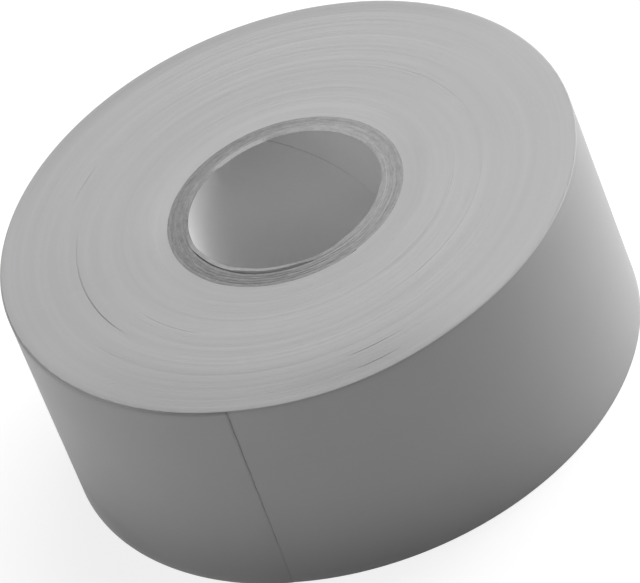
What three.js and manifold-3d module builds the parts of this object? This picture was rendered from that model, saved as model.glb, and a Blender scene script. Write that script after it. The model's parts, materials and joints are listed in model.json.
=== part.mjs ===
// A roll of PVC tape: one long strip wound on a spiral-wound paperboard core.
// Millimetres and degrees. +Z runs along the roll's axis, and the origin is under the axis,
// in the face that the roll lies on. Angles are counted from +X, counterclockwise from above.
import * as THREE from "three";
import { mergeVertices } from "three/addons/utils/BufferGeometryUtils.js";
import Module from "manifold-3d";

// The tape, and the roll that it makes
const tapeWidth = 38;
const rollDiameter = 96.4;
const filmThickness = 0.15;
const adhesiveThickness = 0.03;
const freeEndLength = 30;
const cutEndAngle = -116;

// The paperboard core, which stands a little out of the upper face, and the butt seams of its plies
const boreDiameter = 32.4;
const coreStandOut = 0.2;
const plyCount = 6;
const plyThickness = 0.55;
const glueLine = 0.06;
const seamGap = 0.5;
const seamLead = 83.7;
const linerSeamAngle = 86.5;
const seamStagger = 60;

// The spiral that the edges of the turns draw on both end faces
const spiralTurns = 16;
const spiralWidth = 0.5;
const spiralDepth = 0.3;
const spiralMargin = 1.2;
const spiralRunOut = 90;

// Clearances: core to pack, turn to turn, at the fold of the free end, and where the outer turn starts
const coreClearance = 0.06;
const layClearance = 0.06;
const foldClearance = 0.1;
const lapClearance = 0.6;

// Fineness: how far a flat facet may stand off its round, and steps along the helices and the spirals
const chordError = 0.03;
const seamStep = 12;
const spiralStep = 10;

// What follows from the driving dimensions
const tapeThickness = filmThickness + adhesiveThickness;
const layerPitch = tapeThickness + layClearance;
const rollRadius = rollDiameter / 2;
const freeEndAngle = THREE.MathUtils.radToDeg(freeEndLength / rollRadius);
const outerTurnAngle = freeEndAngle + 360 - THREE.MathUtils.radToDeg(lapClearance / rollRadius);
const foldAngle = cutEndAngle - freeEndAngle;
const foldRadius = turnRadius(freeEndAngle);
const packOuter = turnRadius(outerTurnAngle) - layerPitch;
const coreLength = tapeWidth + coreStandOut;
const coreOuter = boreDiameter / 2 + plyCount * plyThickness + (plyCount - 1) * glueLine;
const packInner = coreOuter + coreClearance;

const wasm = await Module();
wasm.setup();

// Outer radius of the strip at an angle counted back from its cut end: it falls one layer a turn.
function turnRadius(angleBack) {
  return rollRadius - (layerPitch * angleBack) / 360;
}

function polar(radius, angle, height) {
  const turned = THREE.MathUtils.degToRad(angle);
  return new THREE.Vector3(radius * Math.cos(turned), radius * Math.sin(turned), height);
}

// Sides of a round of this radius whose flats stay within the chord error
function sidesOf(radius) {
  return Math.ceil(Math.PI / Math.acos(1 - chordError / radius));
}

// A ring with a rectangular section, turned about Z
function ring(inner, outer, bottom, top) {
  const section = [
    new THREE.Vector2(inner, bottom),
    new THREE.Vector2(outer, bottom),
    new THREE.Vector2(outer, top),
    new THREE.Vector2(inner, top),
    new THREE.Vector2(inner, bottom),
  ];
  return new THREE.LatheGeometry(section, sidesOf(outer)).rotateX(Math.PI / 2);
}

// Six times the volume between a triangle and the origin, below zero where the triangle faces inwards
function tripleProduct(a, b, c) {
  return a.dot(new THREE.Vector3().crossVectors(b, c));
}

// One unbroken closed tube through rings of points, with a fan at each end
function tube(rings) {
  const points = rings.flat();
  const sides = rings[0].length;
  const last = points.length - sides;
  const faces = [];
  for (let i = 0; i < last; i += sides) {
    for (let k = 0; k < sides; k += 1) {
      const next = (k + 1) % sides;
      faces.push([i + k, i + next, i + sides + next]);
      faces.push([i + k, i + sides + next, i + sides + k]);
    }
  }
  for (let k = 1; k < sides - 1; k += 1) {
    faces.push([0, k + 1, k]);
    faces.push([last, last + k, last + k + 1]);
  }
  const volume = faces.reduce((sum, [a, b, c]) => sum + tripleProduct(points[a], points[b], points[c]), 0);
  const outward = volume > 0 ? faces : faces.map(([a, b, c]) => [a, c, b]);
  const geometry = new THREE.BufferGeometry().setFromPoints(points).setIndex(outward.flat());
  geometry.computeVertexNormals();
  return geometry;
}

// Least distance between points of a tube's rings that are at least so many rings apart
function leastGap(rings, ringsApart) {
  let least = Infinity;
  for (let i = 0; i < rings.length; i += 1) {
    for (const far of rings.slice(i + ringsApart).flat()) {
      for (const near of rings[i]) {
        least = Math.min(least, near.distanceTo(far));
      }
    }
  }
  return least;
}

function solidOf(geometry) {
  const bare = geometry.clone().deleteAttribute("normal").deleteAttribute("uv");
  const merged = mergeVertices(bare);
  const vertProperties = merged.attributes.position.array;
  const triVerts = new Uint32Array(merged.index.array);
  return new wasm.Manifold(new wasm.Mesh({ numProp: 3, vertProperties, triVerts }));
}

function geometryOf(solid) {
  const mesh = solid.getMesh();
  const geometry = new THREE.BufferGeometry();
  geometry.setAttribute("position", new THREE.BufferAttribute(mesh.vertProperties, 3));
  geometry.setIndex(new THREE.BufferAttribute(mesh.triVerts, 1));
  geometry.computeVertexNormals();
  return geometry;
}

// A helical blade as wide round a ply as the butt seam between its edges. It stands out of the ply
// by the ply's own thickness on every side.
function seamBlade(inner, outer, topAngle) {
  const halfWidth = THREE.MathUtils.radToDeg(seamGap / (inner + outer));
  const bottom = -plyThickness;
  const top = coreLength + plyThickness;
  const steps = Math.ceil(((top - bottom) * 360) / seamLead / seamStep);
  const rings = [];
  for (let i = 0; i <= steps; i += 1) {
    const height = THREE.MathUtils.lerp(bottom, top, i / steps);
    const angle = topAngle - ((coreLength - height) * 360) / seamLead;
    rings.push([
      polar(inner - plyThickness, angle - halfWidth, height),
      polar(outer + plyThickness, angle - halfWidth, height),
      polar(outer + plyThickness, angle + halfWidth, height),
      polar(inner - plyThickness, angle + halfWidth, height),
    ]);
  }
  return tube(rings);
}

// One ply of the core, counted from the bore: a strip of board wound edge to edge in a helix
function corePly(index) {
  const inner = boreDiameter / 2 + index * (plyThickness + glueLine);
  const outer = inner + plyThickness;
  const wall = solidOf(ring(inner, outer, 0, coreLength));
  const blade = solidOf(seamBlade(inner, outer, linerSeamAngle + index * seamStagger));
  return geometryOf(wall.subtract(blade));
}

// The spiral between the turns on one end face, running out to nothing at both of its ends.
// Outward is 1 on the upper face and -1 on the lower one.
function faceSpiral(faceHeight, outward) {
  const steps = (spiralTurns * 360) / spiralStep;
  const lip = faceHeight + outward * (spiralDepth + spiralWidth);
  const rings = [];
  for (let i = 0; i <= steps; i += 1) {
    const angle = i * spiralStep;
    const fromEnd = Math.min(angle, spiralTurns * 360 - angle);
    const runOut = Math.min(1, fromEnd / spiralRunOut);
    const tip = faceHeight - outward * THREE.MathUtils.lerp(-spiralDepth, spiralDepth, runOut);
    const radius = THREE.MathUtils.lerp(packInner + spiralMargin, packOuter - spiralMargin, i / steps);
    rings.push([
      polar(radius - spiralWidth / 2, angle, lip),
      polar(radius - spiralWidth / 2, angle, faceHeight),
      polar(radius, angle, tip),
      polar(radius + spiralWidth / 2, angle, faceHeight),
      polar(radius + spiralWidth / 2, angle, lip),
    ]);
  }
  return rings;
}

// The wound pack: a plain ring of tape with the spiral of its turns sunk into both end faces
function woundPack() {
  const lower = faceSpiral(0, -1);
  const upper = faceSpiral(tapeWidth, 1);
  const turnApart = Math.floor(180 / spiralStep);
  console.log(`face spiral: least gap to itself ${leastGap(upper, turnApart).toFixed(2)} mm`);
  const whole = solidOf(ring(packInner, packOuter, 0, tapeWidth));
  return geometryOf(whole.subtract(solidOf(tube(upper))).subtract(solidOf(tube(lower))));
}

// Rings along one layer of the strip, between two angles counted back from the cut end.
// The layer lies between an upper and a lower depth below the strip's outer surface.
function stripRings(fromBack, toBack, layer) {
  const steps = Math.ceil((Math.abs(toBack - fromBack) * sidesOf(rollRadius)) / 360);
  const rings = [];
  for (let i = 0; i <= steps; i += 1) {
    const angleBack = THREE.MathUtils.lerp(fromBack, toBack, i / steps);
    const angle = cutEndAngle - angleBack;
    const upper = turnRadius(angleBack) - layer.upper;
    const lower = turnRadius(angleBack) - layer.lower;
    rings.push([
      polar(upper, angle, 0),
      polar(upper, angle, tapeWidth),
      polar(lower, angle, tapeWidth),
      polar(lower, angle, 0),
    ]);
  }
  return rings;
}

// One layer of the last whole turn of the strip, from under the free end round to the fold
function outerTurn(layer) {
  const rings = stripRings(freeEndAngle, outerTurnAngle, layer);
  const turnApart = Math.floor(rings.length / 2);
  console.log(`outer turn, ${layer.name}: least gap to itself ${leastGap(rings, turnApart).toFixed(2)} mm`);
  return tube(rings);
}

// One layer of the loose end, from the fold to the cut, drawn about the line that it folds on
function freeEnd(layer) {
  const foldGap = THREE.MathUtils.radToDeg(foldClearance / rollRadius);
  const rings = stripRings(0, freeEndAngle - foldGap, layer);
  const fold = polar(foldRadius, foldAngle, 0);
  return tube(rings).translate(-fold.x, -fold.y, 0);
}

function piece(name, geometry, { color, roughness }) {
  const mesh = new THREE.Mesh(geometry, new THREE.MeshStandardMaterial({ color, roughness, metalness: 0 }));
  mesh.name = name;
  return mesh;
}

const film = { color: 0xb2b2b2, roughness: 0.42 };
const adhesive = { color: 0x8c8c8c, roughness: 0.3 };
const liner = { color: 0xa8a8a8, roughness: 0.85 };
const boards = [
  { color: 0x8a8a8a, roughness: 0.95 },
  { color: 0x969696, roughness: 0.95 },
];

const core = new THREE.Group();
core.add(piece("core_liner", corePly(0), liner));
for (let index = 1; index < plyCount; index += 1) {
  const name = index < plyCount - 1 ? `core_ply_${index + 1}` : "core_outer_ply";
  core.add(piece(name, corePly(index), boards[index % boards.length]));
}

const winding = new THREE.Group();
winding.add(piece("tape_pack", woundPack(), film));

// The loose end hangs on its fold line, and turns outwards about it as it is peeled off.
const looseEnd = new THREE.Group();
looseEnd.position.copy(polar(foldRadius, foldAngle, 0));
winding.add(looseEnd);

const layers = [
  { name: "film", upper: 0, lower: filmThickness, look: film },
  { name: "adhesive", upper: filmThickness, lower: tapeThickness, look: adhesive },
];
for (const layer of layers) {
  winding.add(piece(`outer_turn_${layer.name}`, outerTurn(layer), layer.look));
  looseEnd.add(piece(`free_end_${layer.name}`, freeEnd(layer), layer.look));
}

const roll = new THREE.Group();
roll.add(core, winding);

export default roll;
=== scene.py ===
"""Looks of a roll of PVC tape: the wound strip, its free end, the paperboard core and a plain stage."""
import json
import math

import bpy
import numpy as np
from bpy.props import FloatProperty, FloatVectorProperty, IntProperty, PointerProperty
from mathutils import Matrix, Vector


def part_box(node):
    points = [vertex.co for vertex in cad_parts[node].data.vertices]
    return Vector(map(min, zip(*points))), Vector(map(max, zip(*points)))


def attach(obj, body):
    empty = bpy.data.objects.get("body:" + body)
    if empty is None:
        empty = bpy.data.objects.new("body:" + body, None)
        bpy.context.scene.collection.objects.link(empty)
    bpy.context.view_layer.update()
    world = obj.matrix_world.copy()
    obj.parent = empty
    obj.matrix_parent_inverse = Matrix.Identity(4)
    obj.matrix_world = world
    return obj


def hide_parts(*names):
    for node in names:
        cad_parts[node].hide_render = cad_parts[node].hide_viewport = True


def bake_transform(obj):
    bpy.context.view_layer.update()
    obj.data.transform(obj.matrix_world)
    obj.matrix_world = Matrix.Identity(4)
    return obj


bl_info = {
    "name": "Tape roll",
    "version": (1, 0, 0),
    "blender": (4, 5, 0),
    "location": "3D View > Sidebar > Tape roll",
    "description": "Dresses the solids of a roll of PVC tape and sets its stage",
    "category": "Object",
}

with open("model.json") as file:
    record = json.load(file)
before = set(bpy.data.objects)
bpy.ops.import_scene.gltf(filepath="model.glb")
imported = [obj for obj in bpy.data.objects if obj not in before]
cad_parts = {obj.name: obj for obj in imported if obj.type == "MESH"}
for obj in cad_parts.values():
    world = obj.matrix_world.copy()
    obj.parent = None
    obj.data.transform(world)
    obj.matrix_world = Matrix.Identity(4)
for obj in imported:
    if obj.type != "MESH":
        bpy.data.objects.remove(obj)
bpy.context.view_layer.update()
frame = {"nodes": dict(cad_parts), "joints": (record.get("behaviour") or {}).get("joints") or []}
MM = 0.001
FULL_TURN = 2 * math.pi
SAME_ANGLE = 1e-4
SHARP_EDGE = math.radians(50)
PLIES = ("core_liner", "core_ply_2", "core_ply_3", "core_ply_4", "core_ply_5", "core_outer_ply")


def polar_of(node):
    """Radii and angles of a solid's corners about the roll's axis."""
    corners = np.array([v.co for v in frame["nodes"][node].data.vertices])
    return np.hypot(corners[:, 0], corners[:, 1]), np.arctan2(corners[:, 1], corners[:, 0])


def cut_radii(layer):
    """Lowest and highest radius of a layer of the free end, where it is cut."""
    radii, angles = polar_of(layer)
    at_cut = radii[angles > angles.max() - SAME_ANGLE]
    return float(at_cut.min()), float(at_cut.max())


# Where the solids are, in metres and radians. Angles are counterclockwise from +X, seen from above.
# Along the strip, "back" is the angle counted from its cut end back towards the core. The free end folds at
# FREE_BACK, and the solids of the outer turn start at LAP_BACK. The strip rises by LAYER_RISE in a radian.
TAPE_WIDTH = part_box("tape_pack")[1].z
CORE_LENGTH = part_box("core_liner")[1].z
ROLL_RADIUS = cut_radii("free_end_film")[1]
TAPE_THICKNESS = ROLL_RADIUS - cut_radii("free_end_adhesive")[0]
CUT_ANGLE = float(polar_of("free_end_film")[1].max())
FOLD = Vector(frame["joints"][0]["pos_m"])
FREE_BACK = CUT_ANGLE - math.atan2(FOLD.y, FOLD.x)
LAYER_RISE = (ROLL_RADIUS - FOLD.xy.length) / FREE_BACK
LAP_BACK = (ROLL_RADIUS - TAPE_THICKNESS - float(polar_of("outer_turn_adhesive")[0].min())) / LAYER_RISE
TURN_RISE = LAYER_RISE * FULL_TURN

# The strip is made in three stretches that meet out of sight: wound tape, outer turn and free end.
OVERLAP = math.radians(20)
JOIN_BACK = LAP_BACK + OVERLAP
LEAD_BACK = FREE_BACK + OVERLAP
LAY_GAP = 0.005 * MM


def clamp(value):
    """A number kept between 0 and 1."""
    return min(max(value, 0.0), 1.0)


def strip_radius(back):
    """Outer radius of the strip, which falls by one layer a turn."""
    return ROLL_RADIUS - LAYER_RISE * back


def strip_depth(back):
    """Thickness drawn for the strip, so that it lies on the turn below it with no open slit."""
    on_pack = clamp((back - JOIN_BACK) / FULL_TURN + 1.0)
    return TURN_RISE + (TAPE_THICKNESS - TURN_RISE) * on_pack - LAY_GAP


class Wire:
    """An output socket of a node tree. Arithmetic on it adds Math nodes to the tree."""

    def __init__(self, nodes, socket):
        self.nodes = nodes
        self.socket = socket

    def __add__(self, other):
        return self.nodes.math("ADD", self, other)

    def __radd__(self, other):
        return self.nodes.math("ADD", other, self)

    def __sub__(self, other):
        return self.nodes.math("SUBTRACT", self, other)

    def __rsub__(self, other):
        return self.nodes.math("SUBTRACT", other, self)

    def __mul__(self, other):
        return self.nodes.math("MULTIPLY", self, other)

    def __rmul__(self, other):
        return self.nodes.math("MULTIPLY", other, self)

    def __truediv__(self, other):
        return self.nodes.math("DIVIDE", self, other)

    def __rtruediv__(self, other):
        return self.nodes.math("DIVIDE", other, self)

    def __pow__(self, other):
        return self.nodes.math("POWER", self, other)

    def __rpow__(self, other):
        return self.nodes.math("POWER", other, self)

    def __gt__(self, other):
        return self.nodes.math("GREATER_THAN", self, other)

    def __lt__(self, other):
        return self.nodes.math("LESS_THAN", self, other)


def pick(sockets, key):
    """A socket in use, by its place, its identifier or its name."""
    used = [socket for socket in sockets if socket.enabled]
    if isinstance(key, int):
        return used[key]
    return next(socket for socket in used if key in (socket.identifier, socket.name))


class Nodes:
    """A node tree under construction."""

    # Share of an arc's half width, from its middle, that counts as fully inside
    ARC_CORE = 0.7

    def __init__(self, tree):
        self.tree = tree

    def add(self, kind, settings=None, sockets=None, out=0):
        """One node: its type, its settings, what its sockets get, and which outputs are wanted.

        A socket gets a plain value, a wire, or a list of wires if it takes several.
        """
        node = self.tree.nodes.new(kind)
        for name, value in (settings or {}).items():
            setattr(node, name, value)
        for key, value in (sockets or {}).items():
            socket = pick(node.inputs, key)
            wires = value if isinstance(value, list) else [value]
            if isinstance(wires[0], Wire):
                for wire in wires:
                    self.tree.links.new(wire.socket, socket)
            else:
                socket.default_value = value
        if out is None:
            return None
        if isinstance(out, tuple):
            return [Wire(self, pick(node.outputs, key)) for key in out]
        return Wire(self, pick(node.outputs, out))

    def math(self, operation, *values):
        """A Math node on values or wires."""
        return self.add("ShaderNodeMath", {"operation": operation}, dict(enumerate(values)))

    def vector(self, x, y, z):
        """A vector from its three components."""
        return self.add("ShaderNodeCombineXYZ", None, {"X": x, "Y": y, "Z": z})

    def split(self, vector, axes):
        """The components of a vector along the axes that are named, such as "XY", or the one along "Z"."""
        wanted = axes if len(axes) == 1 else tuple(axes)
        return self.add("ShaderNodeSeparateXYZ", None, {"Vector": vector}, wanted)

    def smooth(self, value, low, high):
        """0 at low, 1 at high, with a smooth rise between them."""
        sockets = {"Value": value, "From Min": low, "From Max": high}
        return self.add("ShaderNodeMapRange", {"interpolation_type": "SMOOTHSTEP"}, sockets)

    def off_angle(self, angle, middle):
        """How far an angle lies from another one, the shorter way round."""
        return self.math("ABSOLUTE", self.math("WRAP", angle - middle, -math.pi, math.pi))

    def near_angle(self, angle, arcs):
        """1 inside arcs listed as middle and half width in degrees, 0 outside, and 2 where two overlap."""
        inside = 0.0
        for middle, half in arcs:
            off = self.off_angle(angle, math.radians(middle))
            inside = inside + self.smooth(off, math.radians(half), math.radians(half * self.ARC_CORE))
        return inside

    def noise(self, vector, scale=1.0, detail=2.0, roughness=0.5):
        """Noise between 0 and 1 around 0.5."""
        sockets = {"Vector": vector, "Scale": scale, "Detail": detail, "Roughness": roughness}
        return self.add("ShaderNodeTexNoise", None, sockets)

    def mix(self, factor, first, second):
        """A colour between two colours."""
        sockets = {"Factor": factor, "A": first, "B": second}
        return self.add("ShaderNodeMix", {"data_type": "RGBA"}, sockets)

    def bump(self, height, distance):
        """A normal bent by a height map that stands so many metres proud at 1."""
        return self.add("ShaderNodeBump", None, {"Strength": 1.0, "Distance": distance, "Height": height})


def swayed(middle, *sways):
    """A value that noises move up and down about a middle, each by its own amount."""
    for noise, amount in sways:
        middle = middle + (noise - 0.5) * amount
    return middle


def at_least(least, share):
    """A share that runs from a least value, instead of from 0, to 1."""
    return least + (1.0 - least) * share


# Finishes

# End face: the direction of its front, and the radii between which painted shade sets in there and
# on the far rim
FACE_FRONT = (-0.342, -0.94)
FRONT_SHADE_RADII = (ROLL_RADIUS - 15.2 * MM, ROLL_RADIUS - 2.2 * MM)
FAR_RIM_SHADE_RADII = (ROLL_RADIUS - 3.6 * MM, ROLL_RADIUS - 1.4 * MM)

# Side: the middle of its handled part, the stretch behind the cut over which its darker rim band thins out,
# and where the strip is covered by its own free end
HANDLED_BACK = math.radians(12)
RIM_BAND_THINS = (math.radians(26), math.radians(6))
COVERED_BACK = FULL_TURN + math.radians(4)

# Heights up the strip between which it gets darker: in bands at its rim and its lip, and with painted shade
# at its foot from the top down
RIM_BAND_HEIGHTS = (TAPE_WIDTH - 0.6 * MM, TAPE_WIDTH - 0.2 * MM)
LIP_BAND_HEIGHTS = (TAPE_WIDTH - 0.08 * MM, TAPE_WIDTH - 0.03 * MM)
FOOT_SHADE_HEIGHTS = (20.0 * MM, 0.0)
LOW_FOOT_SHADE_HEIGHTS = (12.0 * MM, 0.0)
LEFT_FOOT_SHADE_HEIGHTS = (28.0 * MM, 14.0 * MM)

# Darker band on the film beside the cut: its reach from the cut, and the heights between which it gets
# strong
CUT_BAND_REACH = (0.6 * MM, 0.05 * MM)
CUT_BAND_HEIGHTS = (10.0 * MM, 30.0 * MM)

# Core: the radii between which its inner plies begin, and the direction of the side towards the lamps, where
# light is painted on its cut edge
INNER_PLIES = (19.2 * MM, 17.2 * MM)
LAMP_SIDE = (1.0, -0.15)


def new_finish(name):
    """A material with an empty tree."""
    material = bpy.data.materials.new(name)
    material.use_nodes = True
    material.node_tree.nodes.clear()
    return material, Nodes(material.node_tree)


def principled(nodes, sockets):
    """Closes a material's tree with one surface."""
    shader = nodes.add("ShaderNodeBsdfPrincipled", None, sockets)
    nodes.add("ShaderNodeOutputMaterial", None, {"Surface": shader}, None)


def axis_polar(nodes):
    """Object coordinates: the point, its distance from the roll's axis and its direction from there."""
    point = nodes.add("ShaderNodeTexCoord", None, None, "Object")
    x, y = nodes.split(point, "XY")
    radius = nodes.math("SQRT", x * x + y * y)
    return point, radius, x / radius, y / radius


def facing(east, north, direction):
    """How far a place lies towards a direction from the roll's axis."""
    return east * direction[0] + north * direction[1]


def strip_place(nodes):
    """Way along the strip from its cut end, and way up it, with its upper edge at TAPE_WIDTH."""
    return nodes.split(nodes.add("ShaderNodeUVMap", {"uv_map": "strip"}), "XY")


def shade(colour, factor):
    """A colour with its brightness changed."""
    return (colour[0] * factor, colour[1] * factor, colour[2] * factor, 1.0)


def slit_edge_finish(colour):
    """Slit edges of the wound film: bands of turns in slightly different tones, a fine rub, and painted
    shade at the front and on the far rim.
    """
    material, nodes = new_finish("slit_edges")
    turn = nodes.add("ShaderNodeAttribute", {"attribute_name": "turn"}, None, "Fac")
    point, radius, east, north = axis_polar(nodes)
    broad = nodes.noise(nodes.vector(turn * 0.11, east * 0.7, north * 0.7), detail=3.0)
    narrow = nodes.noise(nodes.vector(turn * 0.8, east * 1.6, north * 1.6))
    rub = nodes.noise(point, scale=2600.0, detail=3.0, roughness=0.6)
    tone = swayed(0.5, (broad, 0.9), (narrow, 0.45), (rub, 0.35))
    front = nodes.smooth(facing(east, north, FACE_FRONT), 0.6, 1.0)
    # Painted shade: the end face gets darker at its front near the rim, and on the far rim
    toward_front = nodes.smooth(radius, *FRONT_SHADE_RADII) * front
    far_rim_shade = nodes.smooth(radius, *FAR_RIM_SHADE_RADII) * nodes.smooth(north, 0.3, 0.95)
    clean = nodes.mix(tone, shade(colour, 0.9), shade(colour, 1.1))
    principled(nodes, {
        "Base Color": nodes.mix(toward_front * 0.24 + far_rim_shade * 0.26, clean, shade(colour, 0.5)),
        "Roughness": swayed(0.5, (narrow, 0.2), (rub, 0.2)),
        "Normal": nodes.bump(narrow * 0.6 + rub * 0.4, 0.012 * MM),
    })
    return material


def film_darkening_with_painted_shade(nodes, along, across, point):
    """Darkening of the film: a band on its rim alone, and in all, with a band at its lip, painted shade at
    its foot and a thin band beside the cut.
    """
    back = along / ROLL_RADIUS
    toward_front = nodes.smooth(nodes.math("COSINE", back - HANDLED_BACK), 0.1, 0.95)
    leftward = nodes.math("SINE", back)
    left = nodes.smooth(leftward, 0.4, 0.9)
    wide_left = nodes.smooth(leftward, 0.25, 0.75)
    in_sight = nodes.smooth(back, COVERED_BACK, FULL_TURN)
    upper = in_sight * at_least(0.35, nodes.smooth(back, *RIM_BAND_THINS))
    patchy = 0.7 + 0.6 * nodes.noise(point, scale=420.0, detail=3.0)
    rim = nodes.smooth(across, *RIM_BAND_HEIGHTS) * toward_front * patchy * upper
    lip = nodes.smooth(across, *LIP_BAND_HEIGHTS) * toward_front * upper
    # Painted shade: the film gets darker towards the floor, most on the left and at the front
    foot_shade = nodes.smooth(across, *FOOT_SHADE_HEIGHTS) * (toward_front * 0.3 + left * 0.4)
    foot_shade = foot_shade + nodes.smooth(across, *LOW_FOOT_SHADE_HEIGHTS) * (toward_front * 0.16 + left * 0.42)
    foot_shade = foot_shade + nodes.smooth(across, *LEFT_FOOT_SHADE_HEIGHTS) * wide_left * 0.24
    uneven = 0.4 + 1.2 * nodes.noise(point, scale=800.0, detail=3.0)
    stronger = at_least(0.3, nodes.smooth(across, *CUT_BAND_HEIGHTS))
    cut_band = nodes.smooth(along, *CUT_BAND_REACH) * stronger * uneven
    return rim, rim * 0.36 + lip * 0.3 + foot_shade + cut_band * 0.3


def film_finish(colour):
    """Satin calendered film: faint lines along the strip, a fine grain, darker bands at the rim and beside
    the cut, and painted shade at the foot.
    """
    material, nodes = new_finish("pvc_film")
    along, across = strip_place(nodes)
    point = nodes.vector(along, across, 0.0)
    lines = nodes.noise(nodes.vector(along * 12.0, across * 1500.0, 0.0), detail=3.0)
    cloud = nodes.noise(point, scale=90.0)
    grain = nodes.noise(point, scale=5200.0, roughness=0.6)
    specks = nodes.smooth(nodes.noise(point, scale=1900.0, detail=1.0), 0.74, 0.8)
    # dust here holds the darker bands at the rim and beside the cut, and the painted shade at the foot
    rim, dust = film_darkening_with_painted_shade(nodes, along, across, point)
    tone = swayed(0.5, (cloud, 0.4), (lines, 0.3), (grain, 0.25))
    clean = nodes.mix(tone, shade(colour, 0.94), shade(colour, 1.06))
    specked = nodes.mix(specks * 0.25, clean, shade(colour, 0.6))
    principled(nodes, {
        "Base Color": nodes.mix(dust, specked, shade(colour, 0.42)),
        "Roughness": swayed(0.42, (lines, 0.1), (grain, 0.12)) + rim * 0.2,
        "Normal": nodes.bump(lines * 0.35 + grain * 0.65, 0.004 * MM),
    })
    return material


def adhesive_finish(colour):
    """Rubber adhesive: darker and glossier than the film, with fine drawn-out legs and a mottled coat."""
    material, nodes = new_finish("adhesive")
    along, across = strip_place(nodes)
    legs = nodes.noise(nodes.vector(along * 3000.0, across * 500.0, 0.0), detail=3.0)
    mottle = nodes.noise(nodes.vector(along, across, 0.0), scale=350.0, detail=3.0)
    tone = swayed(0.5, (mottle, 0.8), (legs, 0.5))
    principled(nodes, {
        "Base Color": nodes.mix(tone, shade(colour, 0.85), shade(colour, 1.15)),
        "Roughness": swayed(0.24, (mottle, 0.15), (legs, 0.1)),
        "Normal": nodes.bump(legs * 0.5 + mottle * 0.5, 0.02 * MM),
    })
    return material


def bead_finish(colour):
    """Adhesive squeezed out and dulled by dust."""
    material, nodes = new_finish("adhesive_bead")
    point = nodes.add("ShaderNodeTexCoord", None, None, "Object")
    dust = nodes.noise(point, scale=2500.0, detail=3.0)
    principled(nodes, {
        "Base Color": nodes.mix(dust, shade(colour, 0.4), shade(colour, 0.9)),
        "Roughness": 0.4 + dust * 0.3,
    })
    return material


def paper_finish(name, face, edge, clean=()):
    """Paper of the core: smooth faces, and fibres torn along the ply where the knife went through.

    The cut edge has a colour of its own. It is paler round the angles listed as clean, each as its
    middle and its half width in degrees, and has painted light on the side towards the lamps and on the
    inner plies at the back.
    """
    material, nodes = new_finish(name)
    cut = nodes.add("ShaderNodeAttribute", {"attribute_name": "cut"}, None, "Fac")
    point, radius, east, north = axis_polar(nodes)
    torn = nodes.noise(nodes.vector(radius * 3400.0, east * 9.0, north * 9.0), detail=4.0, roughness=0.65)
    pulp = nodes.noise(point, scale=1500.0, detail=4.0, roughness=0.6)
    cloud = nodes.noise(point, scale=160.0)
    pale = nodes.near_angle(nodes.math("ARCTAN2", north, east), clean)
    inside = nodes.smooth(radius, *INNER_PLIES)
    # Painted light: the cut edge is paler on the side towards the lamps and on the inner plies at the back
    lamp_side_light = nodes.smooth(facing(east, north, LAMP_SIDE), -0.4, 0.8) * at_least(0.75, inside)
    far_inside_light = nodes.smooth(north, 0.2, 0.9) * inside
    calm = nodes.mix(swayed(0.5, (pulp, 0.2), (cloud, 0.3)), shade(face, 0.9), shade(face, 1.1))
    tone = swayed(0.28, (torn, 1.2), (pulp, 0.5)) + lamp_side_light * 0.4 + far_inside_light * 0.2 + pale * 0.5
    principled(nodes, {
        "Base Color": nodes.mix(cut, calm, nodes.mix(tone, shade(edge, 0.75), shade(edge, 1.75))),
        "Roughness": swayed(0.85, (pulp, 0.2)),
        "Normal": nodes.bump(((torn - 0.5) * 2.0 + pulp * 0.3) * cut, 0.03 * MM),
    })
    return material


# Geometry trees


def new_tree(name, inputs):
    """A geometry tree with a named input for each of its sizes, and the wires that these inputs give."""
    tree = bpy.data.node_groups.new(name, "GeometryNodeTree")
    tree.interface.new_socket("Geometry", in_out="OUTPUT", socket_type="NodeSocketGeometry")
    for label, kind in inputs.items():
        tree.interface.new_socket(label, in_out="INPUT", socket_type=f"NodeSocket{kind}")
    nodes = Nodes(tree)
    wires = nodes.add("NodeGroupInput", None, None, tuple(inputs))
    return nodes, dict(zip(inputs, wires))


def close_tree(nodes, geometry, material):
    """Ends a geometry tree: nothing stays an instance, and everything gets its material."""
    whole = nodes.add("GeometryNodeRealizeInstances", None, {"Geometry": geometry})
    dressed = nodes.add("GeometryNodeSetMaterial", None, {"Geometry": whole, "Material": material})
    nodes.add("NodeGroupOutput", None, {"Geometry": dressed}, None)
    return nodes.tree


def link_object(name, data):
    """A new object in the scene, at the origin."""
    item = bpy.data.objects.new(name, data)
    bpy.context.scene.collection.objects.link(item)
    return item


def grow(name, tree, values, path=()):
    """Runs a geometry tree once, on a path if it takes one, and keeps its result as a plain mesh."""
    line = bpy.data.meshes.new(name)
    line.from_pydata(path, [(i, i + 1) for i in range(len(path) - 1)], [])
    piece = link_object(name, line)
    modifier = piece.modifiers.new(name, "NODES")
    modifier.node_group = tree
    for item in tree.interface.items_tree:
        if item.in_out == "INPUT" and item.socket_type != "NodeSocketGeometry":
            modifier[item.identifier] = values[item.name]
    depsgraph = bpy.context.evaluated_depsgraph_get()
    grown = piece.evaluated_get(depsgraph)
    mesh = bpy.data.meshes.new_from_object(grown, preserve_all_data_layers=True, depsgraph=depsgraph)
    piece.modifiers.clear()
    piece.data = mesh
    mesh.name = name
    return piece


# Noise is the same at the same place, so seeds, the two end faces and slow noise are set apart in it.
SEED_STEP = 0.01
FACES_APART = 57.0
SLOW_APART = 31.0

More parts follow.
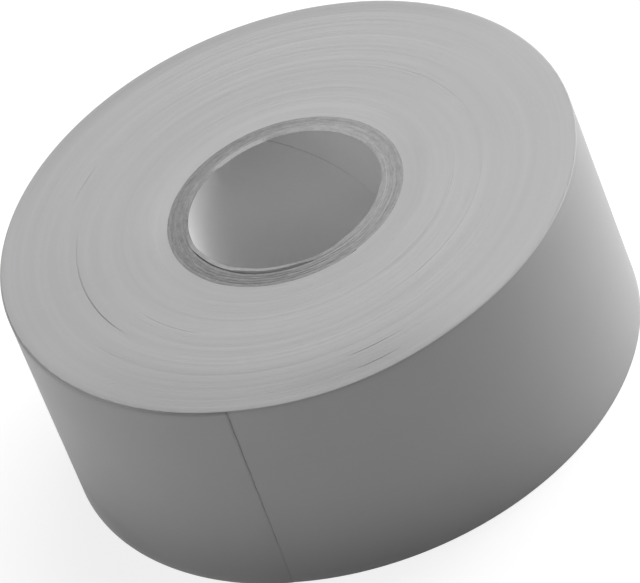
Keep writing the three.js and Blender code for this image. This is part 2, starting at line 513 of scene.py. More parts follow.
# Turns that stand back from the end face, as radius, first and last angle in degrees, and depth. Each
# reaches its depth in this share of its arc, from the middle.
SUNKEN_TURNS = (
    (35.15 * MM, -204, -152, 0.12 * MM),
    (32.5 * MM, -90, 60, 0.038 * MM),
    (32.7 * MM, -80, 50, 0.018 * MM),
    (27.5 * MM, -85, 17, 0.03 * MM),
    (27.8 * MM, -75, 10, 0.04 * MM),
    (30.7 * MM, -158, -131, 0.035 * MM),
    (37.8 * MM, -226, -212, 0.07 * MM),
    (41.9 * MM, -90, -79, 0.07 * MM),
    (45.3 * MM, -90, -82, 0.08 * MM),
    (39.7 * MM, -155, -147, 0.025 * MM),
)
SUNKEN_CORE = 0.6

# The rim is pressed down at the front: the middle and half width of that arc, how far down it goes, and
# how far in from the rim it reaches. The last turns droop besides, over a shorter way.
PRESS_ANGLE = math.radians(-92)
PRESS_HALF = math.radians(28)
PRESS_DEPTH = 0.31 * MM
PRESS_REACH = 6.0 * MM
DROOP_REACH = 0.9 * MM

# Turns over which the wound tape takes up what the core is off the middle and off the round
FOLLOW_TURNS = 24.0


def sunken(nodes, radius, angle, pitch):
    """How far each turn stands back from the end face, from the list of such turns."""
    depth = 0.0
    for ring, first, last, deep in SUNKEN_TURNS:
        half = math.radians((last - first) / 2)
        off = nodes.off_angle(angle, math.radians((first + last) / 2))
        in_ring = nodes.math("ABSOLUTE", radius - ring) < pitch * 0.5
        depth = depth + in_ring * nodes.smooth(off, half, half * SUNKEN_CORE) * deep
    return depth


def wound_path(nodes, size):
    """The spiral that the strip follows at half its width, which holds the number of the turn."""
    spiral = nodes.add("GeometryNodeCurveSpiral", None, {
        "Resolution": size["Steps per Turn"],
        "Rotations": size["Turns"],
        "Start Radius": size["Inner Radius"],
        "End Radius": size["Outer Radius"],
        "Height": 0.0,
        "Reverse": True,
    })
    start = size["End Angle"] - size["Turns"] * FULL_TURN
    placed = nodes.add("GeometryNodeTransform", None, {
        "Geometry": spiral,
        "Translation": nodes.vector(0.0, 0.0, size["Tape Width"] * 0.5),
        "Rotation": nodes.add("FunctionNodeEulerToRotation", None, {"Euler": nodes.vector(0.0, 0.0, start)}),
    })
    step = nodes.add("GeometryNodeSplineParameter", None, None, "Index")
    counted = nodes.add("GeometryNodeStoreNamedAttribute", {"data_type": "FLOAT", "domain": "POINT"}, {
        "Geometry": placed,
        "Name": "turn",
        "Value": step / size["Steps per Turn"],
    })
    return nodes.add("GeometryNodeSetCurveNormal", {"mode": "Z_UP"}, {"Curve": counted})


def hexagon(nodes):
    """A closed line with six corners, each 1 from its middle."""
    return nodes.add("GeometryNodeCurvePrimitiveCircle", None, {"Resolution": 6, "Radius": 1.0})


def tape_section(nodes, size):
    """A hexagon made into the strip's section: two flat faces, and a crown between them at both edges."""
    x, y = nodes.split(nodes.add("GeometryNodeInputPosition"), "XY")
    on_face = nodes.math("ABSOLUTE", y) > 0.1
    across = nodes.math("SIGN", y) * size["Thickness"] * -0.5 * on_face
    rise = size["Tape Width"] * 0.5 - (1.0 - nodes.math("ABSOLUTE", x)) * 2.0 * size["Crown"]
    place = nodes.vector(across, nodes.math("SIGN", x) * rise, 0.0)
    return nodes.add("GeometryNodeSetPosition", None, {"Geometry": hexagon(nodes), "Position": place})


def wound_tape_tree():
    """One unbroken strip wound into a pack, each edge crowned and standing at its own height."""
    nodes, size = new_tree("wound_tape", {
        "Inner Radius": "Float",
        "Outer Radius": "Float",
        "Turns": "Float",
        "Steps per Turn": "Int",
        "End Angle": "Float",
        "Tape Width": "Float",
        "Thickness": "Float",
        "Crown": "Float",
        "Jitter": "Float",
        "Wander": "Float",
        "Rim Droop": "Float",
        "Shift X": "Float",
        "Shift Y": "Float",
        "Oval": "Float",
        "Material": "Material",
    })
    strip = nodes.add("GeometryNodeCurveToMesh", None, {
        "Curve": wound_path(nodes, size),
        "Profile Curve": tape_section(nodes, size),
        "Fill Caps": True,
    })
    turn = nodes.add(
        "GeometryNodeInputNamedAttribute", {"data_type": "FLOAT"}, {"Name": "turn"}, "Attribute")
    x, y, z = nodes.split(nodes.add("GeometryNodeInputPosition"), "XYZ")
    angle = nodes.math("ARCTAN2", y, x)
    pitch = (size["Outer Radius"] - size["Inner Radius"]) / size["Turns"]
    radius = size["Inner Radius"] + turn * pitch
    upper = z > size["Tape Width"] * 0.5

    fine = nodes.noise(nodes.vector(turn * 0.9, upper * FACES_APART, 0.0), detail=1.0)
    slow = nodes.noise(nodes.vector(turn * 0.13, upper * FACES_APART, SLOW_APART))
    droop = nodes.smooth(radius, size["Outer Radius"] - DROOP_REACH, size["Outer Radius"]) ** 2.0
    set_back = fine * size["Jitter"] + slow * size["Wander"] + droop * size["Rim Droop"]
    set_back = set_back + upper * sunken(nodes, radius, angle, pitch)
    off_front = nodes.off_angle(angle, PRESS_ANGLE) * (math.pi / 2 / PRESS_HALF)
    pressed = nodes.math("COSINE", nodes.math("MINIMUM", off_front, math.pi / 2)) ** 2.0
    near_rim = nodes.smooth(radius, size["Outer Radius"] - PRESS_REACH, size["Outer Radius"])
    set_back = set_back + upper * pressed * near_rim * PRESS_DEPTH

    follow = nodes.smooth(turn, FOLLOW_TURNS, 0.0)
    shift_y = size["Shift Y"] + y * size["Oval"]
    inwards = 1.0 - upper * 2.0
    moved = nodes.add("GeometryNodeSetPosition", None, {
        "Geometry": strip,
        "Offset": nodes.vector(size["Shift X"] * follow, shift_y * follow, set_back * inwards),
    })
    flat = nodes.add("GeometryNodeSetShadeSmooth", None, {"Geometry": moved, "Shade Smooth": False})
    return close_tree(nodes, flat, size["Material"])


# Angles at the upper end of the core where the liner has come off the next ply, where the next ply is
# dented outwards, and where the liner is swollen: each as its middle and its half width in degrees
LIFTED = ((-130, 42), (-112, 26))
DENTED = ((-112, 28),)
SWOLLEN = ((102, 20), (-45, 30))

# How deep these faults reach into the core, and the share of its lift by which the liner is thinner there
FAULT_DEPTH = 7.0 * MM
LIFT_THINS = 0.5

# Sheets of the core: how strongly their rows and columns crowd towards the edges, how far from a seam they
# are rounded and how far from a cut end they are frayed, how near to each other two corners are made one,
# and how level a face is that counts as cut
CROWDING = 0.8
SEAM_EDGE = 0.3 * MM
FRAYED_EDGE = 0.3 * MM
SAME_PLACE = 0.001 * MM
CUT_SLOPE = 0.4


def crowded(nodes, share):
    """A share from 0 to 1, drawn towards both of these."""
    return share - nodes.math("SINE", share * FULL_TURN) * (CROWDING / FULL_TURN)


def near_end(nodes, height, size):
    """1 at the upper end of the core, 0 below where its faults reach."""
    return nodes.smooth(height, size["Length"] - FAULT_DEPTH, size["Length"]) ** 1.5


def bent_sheet(nodes, size):
    """A flat sheet bent into a ply's inner face, from one edge of its helical seam round to the other."""
    sheet = nodes.add("GeometryNodeMeshGrid", None, {
        "Size X": 1.0,
        "Size Y": 1.0,
        "Vertices X": size["Columns"],
        "Vertices Y": size["Rows"],
    }, "Mesh")
    x, y = nodes.split(nodes.add("GeometryNodeInputPosition"), "XY")
    height = crowded(nodes, y + 0.5) * size["Length"]
    seam = size["Seam Angle"] - (size["Length"] - height) * FULL_TURN / size["Seam Lead"]
    gap = size["Seam Gap"] / size["Inner Radius"]
    way_round = crowded(nodes, x + 0.5)
    angle = seam + gap * 0.5 + way_round * (FULL_TURN - gap)
    from_seam = nodes.math("MINIMUM", way_round, 1.0 - way_round) * FULL_TURN * size["Inner Radius"]
    rounded = nodes.smooth(from_seam, SEAM_EDGE, 0.0) * size["Seam Round"]
    lifted = nodes.near_angle(angle, LIFTED) * size["Lift"]
    swollen = nodes.near_angle(angle, SWOLLEN) * size["Swell"]
    dented = nodes.near_angle(angle, DENTED) * size["Dent"]
    inwards = (lifted + swollen - dented) * near_end(nodes, height, size)
    radius = size["Inner Radius"] - inwards + rounded
    place = nodes.vector(radius * nodes.math("COSINE", angle), radius * nodes.math("SINE", angle), height)
    return nodes.add("GeometryNodeSetPosition", None, {"Geometry": sheet, "Position": place})


def thick_sheet(nodes, size, sheet):
    """A closed ply made of a bent sheet: its inner face, and a copy pushed out by the ply's thickness."""
    x, y, z = nodes.split(nodes.add("GeometryNodeInputPosition"), "XYZ")
    radius = nodes.math("SQRT", x * x + y * y)
    angle = nodes.math("ARCTAN2", y, x)
    way_round = nodes.math("FRACT", (angle - size["Wrap Start"]) / FULL_TURN + 1.0)
    at_end = near_end(nodes, z, size)
    swollen = nodes.near_angle(angle, SWOLLEN) * at_end * size["Swell"]
    thinned = nodes.near_angle(angle, LIFTED) * at_end * size["Lift"] * LIFT_THINS
    outside = nodes.add("GeometryNodeExtrudeMesh", {"mode": "FACES"}, {
        "Mesh": sheet,
        "Offset": nodes.vector(x / radius, y / radius, 0.0),
        "Offset Scale": size["Thickness"] + way_round * size["Wrap Rise"] + swollen - thinned,
        "Individual": False,
    }, "Mesh")
    inside = nodes.add("GeometryNodeFlipFaces", None, {"Mesh": sheet})
    both = nodes.add("GeometryNodeJoinGeometry", None, {"Geometry": [inside, outside]})
    return nodes.add("GeometryNodeMergeByDistance", None, {"Geometry": both, "Distance": SAME_PLACE})


def core_ply_tree():
    """One ply of the core: a strip of board wound edge to edge in a helix, frayed where it was cut off."""
    nodes, size = new_tree("core_ply", {
        "Inner Radius": "Float",
        "Thickness": "Float",
        "Length": "Float",
        "Seam Angle": "Float",
        "Seam Lead": "Float",
        "Seam Gap": "Float",
        "Seam Round": "Float",
        "Fray": "Float",
        "Lift": "Float",
        "Dent": "Float",
        "Swell": "Float",
        "Wrap Rise": "Float",
        "Wrap Start": "Float",
        "Shift X": "Float",
        "Shift Y": "Float",
        "Oval": "Float",
        "Columns": "Int",
        "Rows": "Int",
        "Seed": "Int",
        "Material": "Material",
    })
    ply = thick_sheet(nodes, size, bent_sheet(nodes, size))
    x, y, z = nodes.split(nodes.add("GeometryNodeInputPosition"), "XYZ")
    seeded = nodes.vector(x, y, size["Seed"] * SEED_STEP)
    torn = nodes.noise(seeded, scale=1800.0, detail=3.0, roughness=0.7)
    warp = nodes.noise(seeded, scale=220.0)
    depth = (torn * 0.7 + warp * 0.5) * size["Fray"]
    top = nodes.smooth(z, size["Length"] - FRAYED_EDGE, size["Length"])
    bottom = nodes.smooth(z, FRAYED_EDGE, 0.0)
    frayed = nodes.add("GeometryNodeSetPosition", None, {
        "Geometry": ply,
        "Offset": nodes.vector(size["Shift X"], size["Shift Y"] + y * size["Oval"], (bottom - top) * depth),
    })
    slope = nodes.split(nodes.add("GeometryNodeInputNormal"), "Z")
    marked = nodes.add("GeometryNodeStoreNamedAttribute", {"data_type": "FLOAT", "domain": "FACE"}, {
        "Geometry": frayed,
        "Name": "cut",
        "Value": nodes.math("ABSOLUTE", slope) > CUT_SLOPE,
    })
    soft = nodes.add("GeometryNodeSetShadeSmooth", None, {"Geometry": marked, "Shade Smooth": True})
    return close_tree(nodes, soft, size["Material"])


def bead_tree():
    """A thread of adhesive along a path, thick and thin by turns, with a lump here and there."""
    nodes, size = new_tree("adhesive_bead", {
        "Path": "Geometry",
        "Radius": "Float",
        "Length": "Float",
        "Lump": "Float",
        "Seed": "Int",
        "Material": "Material",
    })
    height = nodes.split(nodes.add("GeometryNodeInputPosition"), "Z")
    place = nodes.vector(height, size["Seed"] * SEED_STEP, 0.0)
    uneven = nodes.noise(place, scale=700.0, detail=3.0, roughness=0.6)
    lump = nodes.smooth(nodes.noise(place, scale=260.0, detail=1.0), 0.6, 0.74) * size["Lump"]
    fade = at_least(0.25, nodes.smooth(height, size["Length"] * 0.2, size["Length"] * 0.9))
    bead = nodes.add("GeometryNodeCurveToMesh", None, {
        "Curve": nodes.add("GeometryNodeMeshToCurve", None, {"Mesh": size["Path"]}),
        "Profile Curve": hexagon(nodes),
        "Scale": size["Radius"] * fade * (0.15 + 1.1 * uneven + lump),
        "Fill Caps": True,
    })
    soft = nodes.add("GeometryNodeSetShadeSmooth", None, {"Geometry": bead, "Shade Smooth": True})
    return close_tree(nodes, soft, size["Material"])


# Stretches of the strip that show their faces

# Edges of the strip: where the lower one is, how far the upper one lies below the end face, how much
# further where it isn't flush with the wound tape, and on the handled side, and where it gets flush
LOWER_EDGE = 0.05 * MM
EDGE_DROP = 0.09 * MM
NOT_FLUSH = 0.07 * MM
HANDLED_DROP = 0.05 * MM
FLUSH_BACK = math.radians(270)
FLUSH_REACH = math.radians(60)

# Rows of points up the outer face and down the inner one. A slit edge is rounded: each of its rows is
# listed as how far it is from the edge, and how far in.
OUTER_ROWS = 24
INNER_ROWS = 9
SLIT_ROUND = ((0.0, 0.04 * MM), (0.015 * MM, 0.015 * MM), (0.05 * MM, 0.0))

# Waves up the strip, each as how far it swings, its angle over the whole width and its phase: slight
# ridges, where the film came off the calender a little thicker, the ragged edge of the cut, and how
# unevenly the cut end stands off
RIDGES = ((0.006 * MM, 17.0, 0.6), (0.0042 * MM, 31.0, 2.1))
RAGS = ((0.05 * MM, 41.0, 0.0), (0.04 * MM, 97.0, 1.3))
LOOSE_WAVE = ((0.4, 23.0, 0.8),)

# The cut: how far it leans over the whole width, the share of the width at which it is at CUT_ANGLE, and
# the length of film beside it that leans, lifts and gets thinner with it
CUT_LEAN = 0.8 * MM
CUT_LEVEL = 0.9
CUT_REACH = 6.0 * MM

# Steps along the outer turn and along the free end
TURN_STEP = math.radians(0.5)
END_STEP = math.radians(0.25)


def waves(height, table):
    """Sum of the waves of a table at a height up the strip."""
    share = height / TAPE_WIDTH
    return sum(swing * math.sin(angle * share + phase) for swing, angle, phase in table)


def edge_drop(back):
    """How far the strip's upper edge lies below the end face.

    It is flush with the wound tape under the free end and right of the cut, and stands back elsewhere.
    """
    toward_front = clamp(math.cos(back - HANDLED_BACK))
    flush = clamp((back - FLUSH_BACK) / FLUSH_REACH)
    off_front = abs((CUT_ANGLE - back - PRESS_ANGLE + math.pi) % FULL_TURN - math.pi)
    pressed = math.cos(min(off_front / PRESS_HALF, 1.0) * math.pi / 2) ** 2
    return EDGE_DROP + (NOT_FLUSH + HANDLED_DROP * toward_front ** 2) * (1.0 - flush) + PRESS_DEPTH * pressed


def strip_section(back):
    """Points round the strip, as depth and height: up its outer face and down its inner one."""
    low = LOWER_EDGE
    high = TAPE_WIDTH - edge_drop(back)
    rows = [(low + up, inset) for up, inset in SLIT_ROUND]
    rows += [(low + share * (high - low), 0.0) for share in np.linspace(0.0, 1.0, OUTER_ROWS + 2)[1:-1]]
    rows += [(high - down, inset) for down, inset in reversed(SLIT_ROUND)]
    outer = [(inset - waves(height, RIDGES), height) for height, inset in rows]
    inner = [(strip_depth(back), height) for height in np.linspace(high, low, INNER_ROWS)]
    return outer + inner


def strip_faces(count, ring):
    """Faces of a tube of so many steps between rings of so many points, and its two ends."""
    faces = []
    for start in range(0, count * ring, ring):
        for k in range(ring):
            following = (k + 1) % ring
            faces.append((start + k, start + ring + k, start + ring + following, start + following))
    first_end = tuple(range(ring))
    last_end = tuple(reversed(range(count * ring, (count + 1) * ring)))
    return faces + [first_end, last_end]


def strip_stretch(name, first_back, last_back, step, finishes, shape=None):
    """A stretch of the strip from one angle back to another, towards the cut.

    shape gives, for a place on the strip, how far it moves along and outwards, and how much thinner it is.
    The finishes are those of the outer and the inner face.
    """
    count = math.ceil((first_back - last_back) / step)
    corners = []
    places = []
    for back in np.linspace(first_back, last_back, count + 1):
        section = strip_section(back)
        for depth, height in section:
            along, lift, thinner = shape(back, height) if shape else (0.0, 0.0, 0.0)
            radius = strip_radius(back) - depth - thinner * (strip_depth(back) - depth) + lift
            angle = CUT_ANGLE - back + along / radius
            corners.append((radius * math.cos(angle), radius * math.sin(angle), height))
            places.append((back * ROLL_RADIUS, height + edge_drop(back)))
    ring = len(section)
    faces = strip_faces(count, ring)
    inner = [k >= ring - INNER_ROWS for k in range(ring)] * count + [False, False]
    mesh = bpy.data.meshes.new(name)
    mesh.from_pydata(corners, [], faces)
    for finish in finishes:
        mesh.materials.append(finish)
    mesh.polygons.foreach_set("material_index", np.array(inner, dtype=np.int32))
    mesh.polygons.foreach_set("use_smooth", np.ones(len(faces), dtype=bool))
    layer = mesh.uv_layers.new(name="strip")
    loops = np.zeros(len(mesh.loops), dtype=np.int32)
    mesh.loops.foreach_get("vertex_index", loops)
    layer.data.foreach_set("uv", np.array(places)[loops].ravel())
    mesh.set_sharp_from_angle(angle=SHARP_EDGE)
    return link_object(name, mesh)


def cut_line(height):
    """How far the cut runs ahead of CUT_ANGLE: a tear that leans, with a ragged edge."""
    return (height / TAPE_WIDTH - CUT_LEVEL) * CUT_LEAN + waves(height, RAGS)


def cut_shape(back, height):
    """Film beside the cut: it leans, stands off near the upper edge and is pressed thin at the lower."""
    share = height / TAPE_WIDTH
    near = clamp(1.0 - back * ROLL_RADIUS / CUT_REACH)
    lift = bpy.context.scene.tape_look.lift * share ** 2 * (0.6 + waves(height, LOOSE_WAVE))
    thinner = 0.97 - 0.37 * share
    return cut_line(height) * near, lift * near ** 4, thinner * near ** 2


# What a user would change


class TapeLook(bpy.types.PropertyGroup):
    """Sizes and colours of the wound tape."""
    steps: IntProperty(
        name="Steps per turn", description="Straight steps in one turn of the wound tape", default=96)
    gap: FloatProperty(
        name="Turn gap", description="Gap between two turns of the pack",
        default=0.01 * MM, unit="LENGTH")
    crown: FloatProperty(
        name="Edge crown", description="How far a slit edge is rounded over",
        default=0.008 * MM, unit="LENGTH")
    jitter: FloatProperty(
        name="Edge jitter", description="Unevenness from turn to turn",
        default=0.014 * MM, unit="LENGTH")
    wander: FloatProperty(
        name="Edge wander", description="Slow drift of the edge over many turns",
        default=0.08 * MM, unit="LENGTH")
    droop: FloatProperty(
        name="Rim droop", description="How far the last turns stand back",
        default=0.04 * MM, unit="LENGTH")
    start: FloatProperty(
        name="Inner end", description="Angle at which the strip starts on the core",
        default=math.radians(-67.7), subtype="ANGLE", unit="ROTATION")
    lift: FloatProperty(
        name="Cut end lift", description="How far the cut end stands off",
        default=0.03 * MM, unit="LENGTH")
    bead: FloatProperty(
        name="Adhesive bead", description="Radius of the adhesive squeezed out at the cut",
        default=0.026 * MM, unit="LENGTH")
    film: FloatVectorProperty(
        name="Film", description="Colour of the PVC film",
        default=(0.46, 0.46, 0.46), subtype="COLOR")
    adhesive: FloatVectorProperty(
        name="Adhesive", description="Colour of the adhesive coat",
        default=(0.28, 0.28, 0.28), subtype="COLOR")


class CoreLook(bpy.types.PropertyGroup):
    """Sizes and colours of the paperboard core."""
    fray: FloatProperty(
        name="Fray", description="Unevenness of the cut ends",
        default=0.14 * MM, unit="LENGTH")
    seam_gap: FloatProperty(
        name="Seam gap", description="Gap between the liner's edges",
        default=0.06 * MM, unit="LENGTH")
    seam_lead: FloatProperty(
        name="Seam lead", description="Rise of a seam in one turn",
        default=83.7 * MM, unit="LENGTH")
    liner_seam: FloatProperty(
        name="Liner seam", description="Angle of the liner's seam at the upper end",
        default=math.radians(87.3), subtype="ANGLE", unit="ROTATION")
    lift: FloatProperty(
        name="Liner lift", description="How far the liner has come off the next ply",
        default=0.17 * MM, unit="LENGTH")
    dent: FloatProperty(
        name="Ply dent", description="How far the next ply is dented outwards",
        default=0.09 * MM, unit="LENGTH")
    swell: FloatProperty(
        name="Liner swell", description="How far the liner is swollen",
        default=0.27 * MM, unit="LENGTH")
    liner_sheet: FloatProperty(
        name="Liner sheet", description="Thickness of the liner",
        default=0.76 * MM, unit="LENGTH")
    radius: FloatProperty(
        name="Core radius", description="Outer radius of the core",
        default=19.6 * MM, unit="LENGTH")
    shift: FloatVectorProperty(
        name="Core shift", description="How far the core sits off the roll's middle",
        default=(-0.1 * MM, 0.27 * MM), size=2, unit="LENGTH")
    oval: FloatProperty(
        name="Core oval", description="Share by which the core is longer from front to back",
        default=0.007, min=0.0, max=1.0, subtype="FACTOR")
    liner: FloatVectorProperty(
        name="Liner", description="Colour of the liner paper",
        default=(0.75, 0.75, 0.75), subtype="COLOR")
    board: FloatVectorProperty(
        name="Board", description="Colour of the paperboard",
        default=(0.235, 0.235, 0.235), subtype="COLOR")


class StageLook(bpy.types.PropertyGroup):
    """Camera and surroundings."""
    aim: FloatVectorProperty(
        name="Aim", description="The point that the camera looks at",
        default=(-0.432 * MM, -0.039 * MM, 18.289 * MM), unit="LENGTH")
    distance: FloatProperty(
        name="Distance", description="From the camera to what it looks at",
        default=1224.74 * MM, unit="LENGTH")
    elevation: FloatProperty(
        name="Elevation", description="How steeply the camera looks down",
        default=math.radians(38.84), subtype="ANGLE", unit="ROTATION")
    roll: FloatProperty(
        name="Roll", description="How far the camera is turned about its own axis",
        default=math.radians(22.155), subtype="ANGLE", unit="ROTATION")
    lens: FloatProperty(
        name="Lens", description="Focal length in millimetres",
        default=427.95, unit="CAMERA")
    world: FloatProperty(
        name="Surroundings", description="Light from all round", default=0.01)


# Pieces

# Bead of adhesive: how far its ends stay from the lower edge and below the upper one, its steps, how far
# its middle stands out of the turn below it as a share of its radius, and its lumps
BEAD_FOOT = 3.0 * MM
BEAD_TOP = 1.8 * MM
BEAD_STEPS = 260
BEAD_RISE = 0.3
BEAD_LUMP = 4.0
BEAD_SEED = 4

# Core: how far it is let into the first turn of tape, the glue line between two plies, and how much shorter
# each ply is than the one inside it
CORE_TUCK = 0.03 * MM
GLUE_LINE = 0.008 * MM
LENGTH_STEP = 0.028 * MM

# Seams of the plies: how far each is turned on from the last, the gap of those out of sight, and how far
# the liner's edges are rounded. The outer ply steps up a little before the first turn of tape starts.
SEAM_STAGGER = math.radians(60)
BOARD_SEAM = 0.05 * MM
LINER_ROUND = 0.065 * MM
WRAP_LEAD = math.radians(2)

# Looks of the plies: how frayed the liner is beside the board, where its cut is clean, as middle and half
# width in degrees, and the tones of neighbouring plies
LINER_FRAY = 0.4
CLEAN_CUT = ((-140, 45), (105, 19))
BOARD_TONES = (0.97, 1.05)

# Columns of the first and last ply and of those between them, and rows of all
FINE_COLUMNS = 300
COLUMNS = 200
ROWS = 64


class TAPE_OT_wound(bpy.types.Operator):
    """Winds the strip on the core, in about 155 turns"""
    bl_idname = "tape_roll.wound"
    bl_label = "Wound tape"

    def execute(self, context):
        look = context.scene.tape_look
        core = context.scene.core_look
        outer = strip_radius(JOIN_BACK) - TAPE_THICKNESS / 2
        inner = core.radius + (TAPE_THICKNESS + look.gap) / 2
        end_angle = CUT_ANGLE - JOIN_BACK
        part_turn = ((end_angle - look.start) % FULL_TURN) / FULL_TURN
        turns = math.floor((outer - inner) / TAPE_THICKNESS - part_turn) + part_turn
        piece = grow("wound_tape", wound_tape_tree(), {
            "Inner Radius": inner,
            "Outer Radius": outer,
            "Turns": turns,
            "Steps per Turn": look.steps,
            "End Angle": end_angle,
            "Tape Width": TAPE_WIDTH,
            "Thickness": TAPE_THICKNESS - look.gap,
            "Crown": look.crown,
            "Jitter": look.jitter,
            "Wander": look.wander,
            "Rim Droop": look.droop,
            "Shift X": core.shift[0],
            "Shift Y": core.shift[1],
            "Oval": core.oval,
            "Material": slit_edge_finish(look.film),
        })
        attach(piece, "roll")
        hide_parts("tape_pack")
        return {"FINISHED"}


class TAPE_OT_outer_turn(bpy.types.Operator):
    """Lays the last whole turn of the strip, and the free end that peels off it"""
    bl_idname = "tape_roll.outer_turn"
    bl_label = "Outer turn and free end"

    def execute(self, context):
        look = context.scene.tape_look
        finishes = (film_finish(look.film), adhesive_finish(look.adhesive))
        turn = strip_stretch("outer_turn", JOIN_BACK, LEAD_BACK, TURN_STEP, finishes)
        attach(turn, "roll")
        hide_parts("outer_turn_film", "outer_turn_adhesive")

        end = strip_stretch("free_end", LEAD_BACK, 0.0, END_STEP, finishes, cut_shape)
        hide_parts("free_end_film", "free_end_adhesive")
        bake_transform(end)
        return {"FINISHED"}


class TAPE_OT_bead(bpy.types.Operator):
    """Runs a thin bead of squeezed-out adhesive along the cut end"""
    bl_idname = "tape_roll.bead"
    bl_label = "Adhesive bead"

    def execute(self, context):
        look = context.scene.tape_look
        radius = strip_radius(FULL_TURN) + BEAD_RISE * look.bead
        path = []
        for height in np.linspace(BEAD_FOOT, TAPE_WIDTH - BEAD_TOP, BEAD_STEPS):
            angle = CUT_ANGLE + cut_line(height) / radius
            path.append((radius * math.cos(angle), radius * math.sin(angle), height))
        piece = grow("adhesive_bead", bead_tree(), {
            "Radius": look.bead,
            "Length": TAPE_WIDTH,
            "Lump": BEAD_LUMP,
            "Seed": BEAD_SEED,
            "Material": bead_finish(look.adhesive),
        }, path)
        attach(piece, "free_end")
        return {"FINISHED"}


class TAPE_OT_core(bpy.types.Operator):
    """Winds the six plies of the core"""
    bl_idname = "tape_roll.core"
    bl_label = "Core plies"

    def execute(self, context):
        look = context.scene.core_look
        tree = core_ply_tree()
        liner = paper_finish("liner_paper", look.liner, look.board, CLEAN_CUT)
        boards = []
        for tone in BOARD_TONES:
            colour = shade(look.board, tone)
            boards.append(paper_finish(f"core_board_{tone}", colour, colour))
        bore = float(polar_of(PLIES[0])[0].min())
        borders = [bore, *np.linspace(bore + look.liner_sheet, look.radius + CORE_TUCK, len(PLIES))]
        for index, node in enumerate(PLIES):
            is_liner = node == PLIES[0]
            is_outer = node == PLIES[-1]
            piece = grow(node.replace("core_", "visible_"), tree, {
                "Inner Radius": float(borders[index]),
                "Thickness": float(borders[index + 1] - borders[index]) - GLUE_LINE,
                "Length": CORE_LENGTH - LENGTH_STEP * index,
                "Seam Angle": look.liner_seam + index * SEAM_STAGGER,
                "Seam Lead": look.seam_lead,
                "Seam Gap": look.seam_gap if is_liner else BOARD_SEAM,
                "Seam Round": LINER_ROUND if is_liner else 0.0,
                "Fray": look.fray * (LINER_FRAY if is_liner else 1.0),
                "Lift": look.lift if is_liner else 0.0,
                "Dent": look.dent if node == PLIES[1] else 0.0,
                "Swell": look.swell if is_liner else 0.0,
                "Wrap Rise": TAPE_THICKNESS if is_outer else 0.0,
                "Wrap Start": context.scene.tape_look.start - WRAP_LEAD,
                "Shift X": look.shift[0],
                "Shift Y": look.shift[1],
                "Oval": look.oval,
                "Columns": FINE_COLUMNS if is_liner or is_outer else COLUMNS,
                "Rows": ROWS,
                "Seed": index,
                "Material": liner if is_liner else boards[index % len(boards)],
            })
            piece.data.set_sharp_from_angle(angle=SHARP_EDGE)
            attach(piece, "roll")
            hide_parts(node)
        return {"FINISHED"}


# Stage

# Lamps, as name, azimuth and elevation in degrees, size in metres and power in watts, all equally far off
LAMPS = (
    ("key", 48, 50, 0.8, 8.95),
    ("right", 6, 50, 0.8, 1.25),
    ("right_low", 22, 15, 0.45, 2.85),
    ("left_low", 184, 15, 0.45, 1.22),
    ("front", -107, 38, 0.45, 0.7),
)
LAMP_DISTANCE = 0.9
SENSOR_WIDTH = 36.0

# Floor: half its side, its grey where it lights the roll, and its grey and its glow where it is seen
FLOOR_HALF = 2.0
FLOOR_LIT = (0.65, 0.65, 0.65, 1.0)
FLOOR_SEEN = (0.28, 0.28, 0.28, 1.0)
FLOOR_GLOW = 0.82
WHITE = (1.0, 1.0, 1.0, 1.0)


def make_floor():
    """A floor that is seen almost white with the roll's shadow on it, and lights the roll as plain grey."""
    material, nodes = new_finish("floor")
    seen, glossy, through = nodes.add(
        "ShaderNodeLightPath", None, None, ("Is Camera Ray", "Is Glossy Ray", "Is Transmission Ray"))
    shown = nodes.math("MAXIMUM", nodes.math("MAXIMUM", seen, glossy), through)
    lit = nodes.add("ShaderNodeBsdfDiffuse", None, {"Color": FLOOR_LIT})
    shadowed = nodes.add("ShaderNodeBsdfDiffuse", None, {"Color": FLOOR_SEEN})
    glow = nodes.add("ShaderNodeEmission", None, {"Color": WHITE, "Strength": FLOOR_GLOW})
    bright = nodes.add("ShaderNodeAddShader", None, {0: shadowed, 1: glow})
    surface = nodes.add("ShaderNodeMixShader", None, {0: shown, 1: lit, 2: bright})
    nodes.add("ShaderNodeOutputMaterial", None, {"Surface": surface}, None)
    mesh = bpy.data.meshes.new("floor")
    corners = [(FLOOR_HALF * x, FLOOR_HALF * y, 0) for x, y in ((-1, -1), (1, -1), (1, 1), (-1, 1))]
    mesh.from_pydata(corners, [], [(0, 1, 2, 3)])
    mesh.materials.append(material)
    floor = link_object("floor", mesh)


def make_world(strength):
    """White where the camera sees it, dim where it lights the roll."""
    world = bpy.data.worlds.new("surroundings")
    world.use_nodes = True
    world.node_tree.nodes.clear()
    nodes = Nodes(world.node_tree)
    seen = nodes.add("ShaderNodeLightPath", None, None, "Is Camera Ray")
    dim = nodes.add("ShaderNodeBackground", None, {"Color": WHITE, "Strength": strength})
    white = nodes.add("ShaderNodeBackground", None, {"Color": WHITE, "Strength": 1.0})
    surface = nodes.add("ShaderNodeMixShader", None, {0: seen, 1: dim, 2: white})
    nodes.add("ShaderNodeOutputWorld", None, {"Surface": surface}, None)
    bpy.context.scene.world = world


def make_lamp(name, azimuth, elevation, size, power):
    """A square softbox that faces the middle of the roll."""
    lamp = bpy.data.lights.new(name, "AREA")
    lamp.shape = "SQUARE"
    lamp.size = size
    lamp.energy = power
    middle = Vector((0.0, 0.0, TAPE_WIDTH / 2))
    level = math.cos(elevation)
    towards = Vector((level * math.cos(azimuth), level * math.sin(azimuth), math.sin(elevation)))
    turned = towards.to_track_quat("Z", "Y").to_matrix().to_4x4()
    holder = link_object(name, lamp)
    holder.matrix_world = Matrix.Translation(middle + towards * LAMP_DISTANCE) @ turned


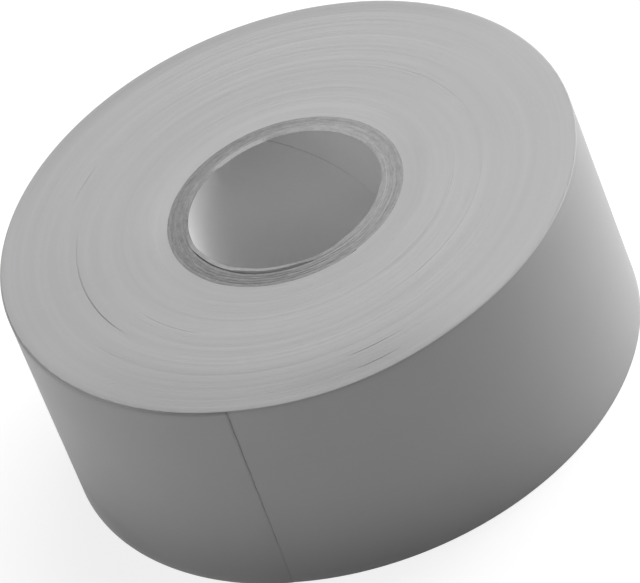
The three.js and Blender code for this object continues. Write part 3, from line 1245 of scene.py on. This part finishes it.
def make_camera(look):
    """The camera looks along +Y and down at the roll, and is turned about its own axis."""
    away = Vector((0.0, -math.cos(look.elevation), math.sin(look.elevation)))
    camera = bpy.data.cameras.new("camera")
    camera.lens = look.lens
    camera.sensor_width = SENSOR_WIDTH
    level = away.to_track_quat("Z", "Y").to_matrix().to_4x4()
    turned = level @ Matrix.Rotation(-look.roll, 4, "Z")
    holder = link_object("camera", camera)
    holder.matrix_world = Matrix.Translation(Vector(look.aim) + away * look.distance) @ turned
    bpy.context.scene.camera = holder


class TAPE_OT_stage(bpy.types.Operator):
    """Sets the floor, the lamps, the surroundings and the camera"""
    bl_idname = "tape_roll.stage"
    bl_label = "Stage"

    def execute(self, context):
        look = context.scene.stage_look
        context.scene.view_settings.view_transform = "Standard"
        make_floor()
        make_world(look.world)
        for name, azimuth, elevation, size, power in LAMPS:
            make_lamp(name, math.radians(azimuth), math.radians(elevation), size, power)
        make_camera(look)
        return {"FINISHED"}


class TAPE_PT_panel(bpy.types.Panel):
    """Lists the roll's pieces and its stage, with their sizes and colours"""
    bl_idname = "TAPE_PT_panel"
    bl_label = "Tape roll"
    bl_space_type = "VIEW_3D"
    bl_region_type = "UI"
    bl_category = "Tape roll"

    def draw(self, context):
        for operator in OPERATORS:
            self.layout.operator(operator.bl_idname)
        for group in LOOKS:
            look = getattr(context.scene, group)
            for name in look.__annotations__:
                self.layout.prop(look, name)


LOOKS = {"tape_look": TapeLook, "core_look": CoreLook, "stage_look": StageLook}
OPERATORS = (TAPE_OT_wound, TAPE_OT_outer_turn, TAPE_OT_bead, TAPE_OT_core, TAPE_OT_stage)
CLASSES = (*LOOKS.values(), *OPERATORS, TAPE_PT_panel)


def register():
    for cls in CLASSES:
        bpy.utils.register_class(cls)
    for name, look in LOOKS.items():
        setattr(bpy.types.Scene, name, PointerProperty(type=look))


def unregister():
    for name in LOOKS:
        delattr(bpy.types.Scene, name)
    for cls in reversed(CLASSES):
        bpy.utils.unregister_class(cls)


def main():
    register()
    bpy.ops.tape_roll.wound()
    bpy.ops.tape_roll.outer_turn()
    bpy.ops.tape_roll.bead()
    bpy.ops.tape_roll.core()
    bpy.ops.tape_roll.stage()


if __name__ == "__main__":
    main()
